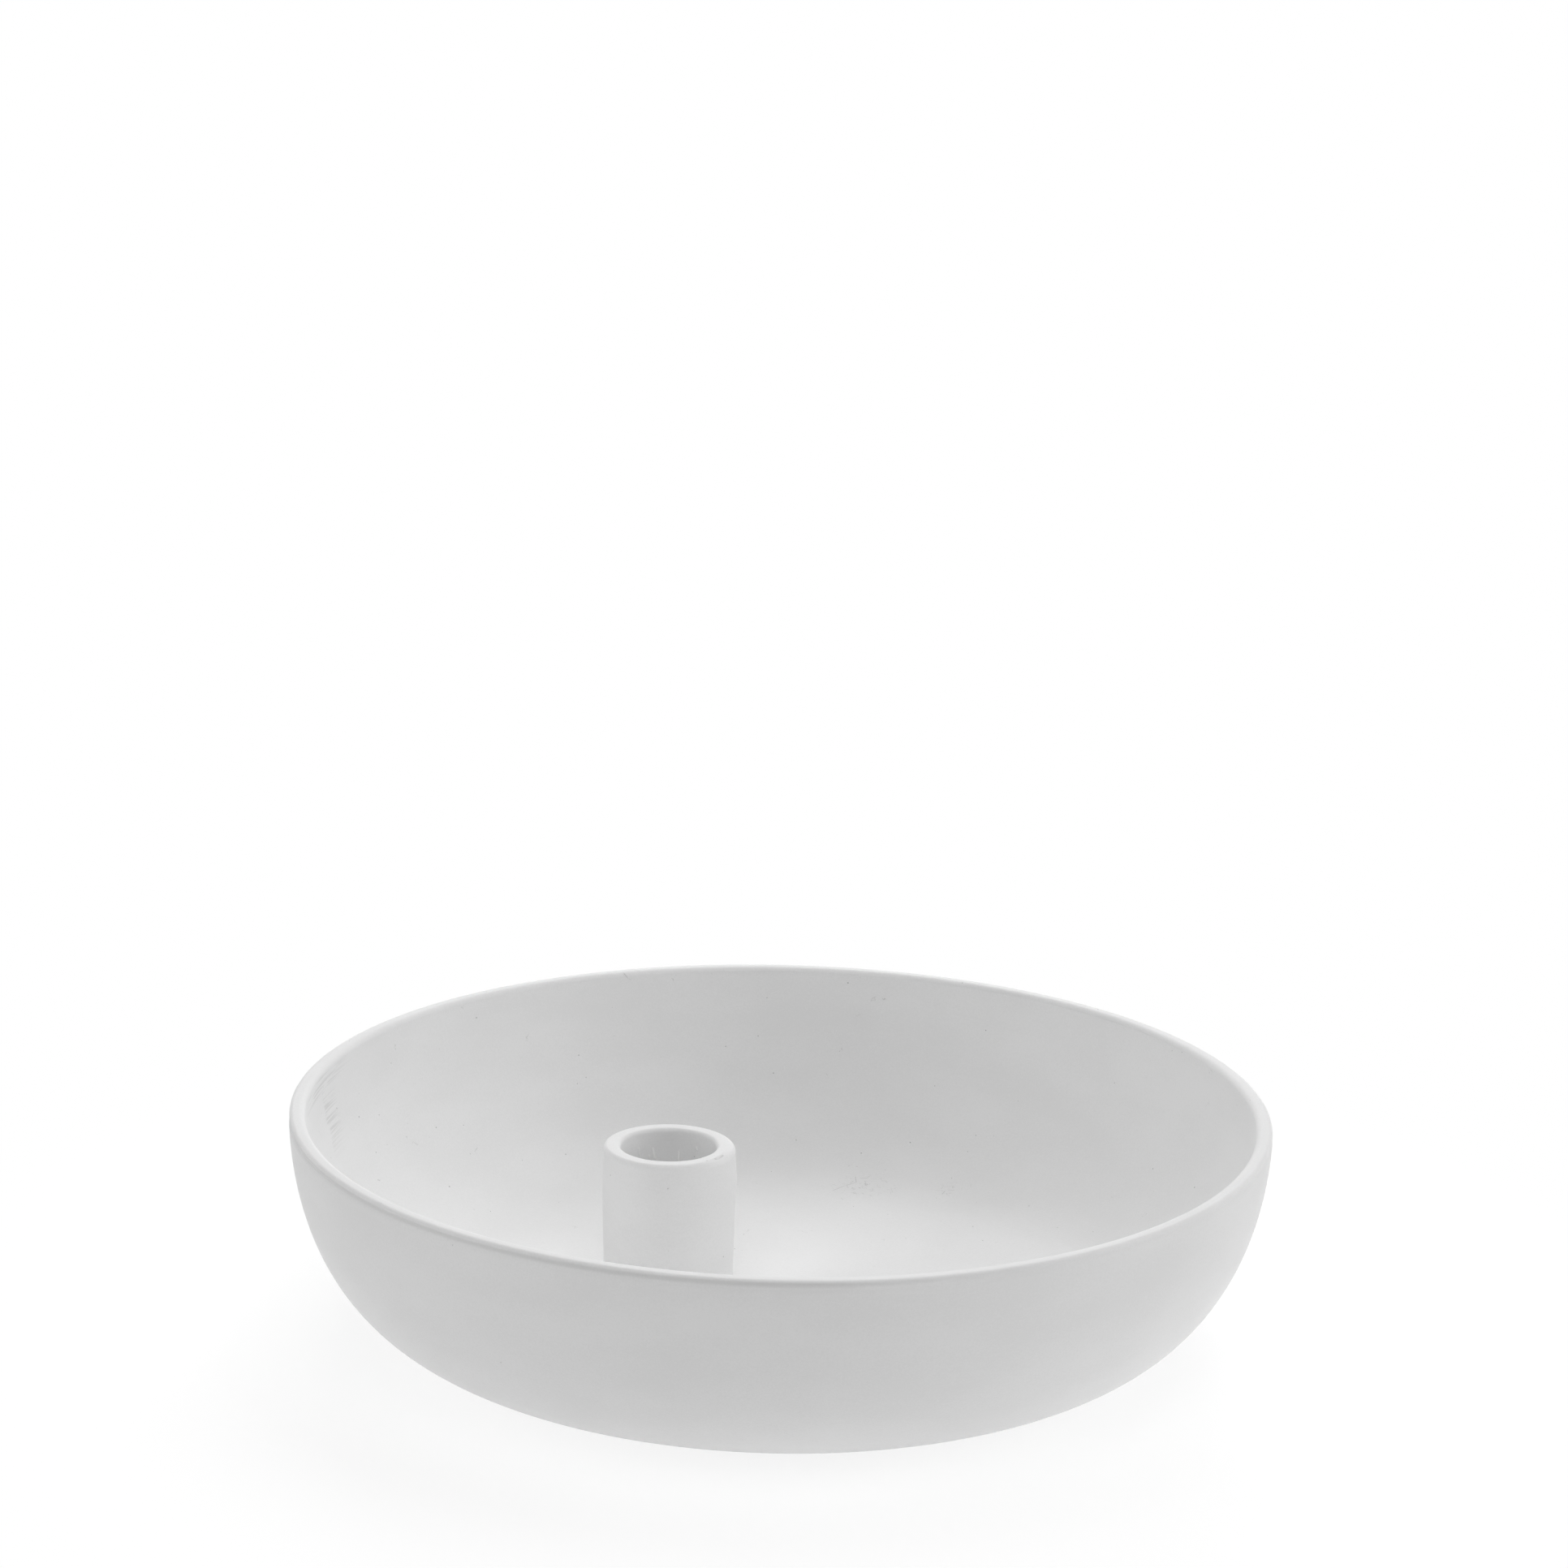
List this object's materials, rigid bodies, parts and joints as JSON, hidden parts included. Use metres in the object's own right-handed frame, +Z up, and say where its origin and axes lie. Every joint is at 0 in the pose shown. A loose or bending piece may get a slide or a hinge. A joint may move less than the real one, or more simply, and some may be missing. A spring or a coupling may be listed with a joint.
{
  "type": "ceramic candle dish",
  "caption": "Wide shallow ceramic dish with an upright tubular socket off the centre of its floor: it holds a dinner candle, catches the wax and takes greenery or pebbles.",
  "frame": {"origin": "centre of the foot ring, on the plane of the table", "axes": "+Z up, +X to the right and +Y to the back, with the socket to the left of the centre and slightly in front of it"},
  "size_m": [0.24, 0.24, 0.055],
  "materials": {
    "dish_glaze": "matt off-white glaze, fine-grained, with a few pinholes",
    "socket_glaze": "matt off-white glaze, sponged smooth",
    "luting_slip": "wiped slip under the same matt glaze"
  },
  "bodies": {
    "root": {"dish_bowl": "dish_glaze", "candle_socket": "socket_glaze", "socket_seam": "luting_slip"}
  },
  "joints": []
}
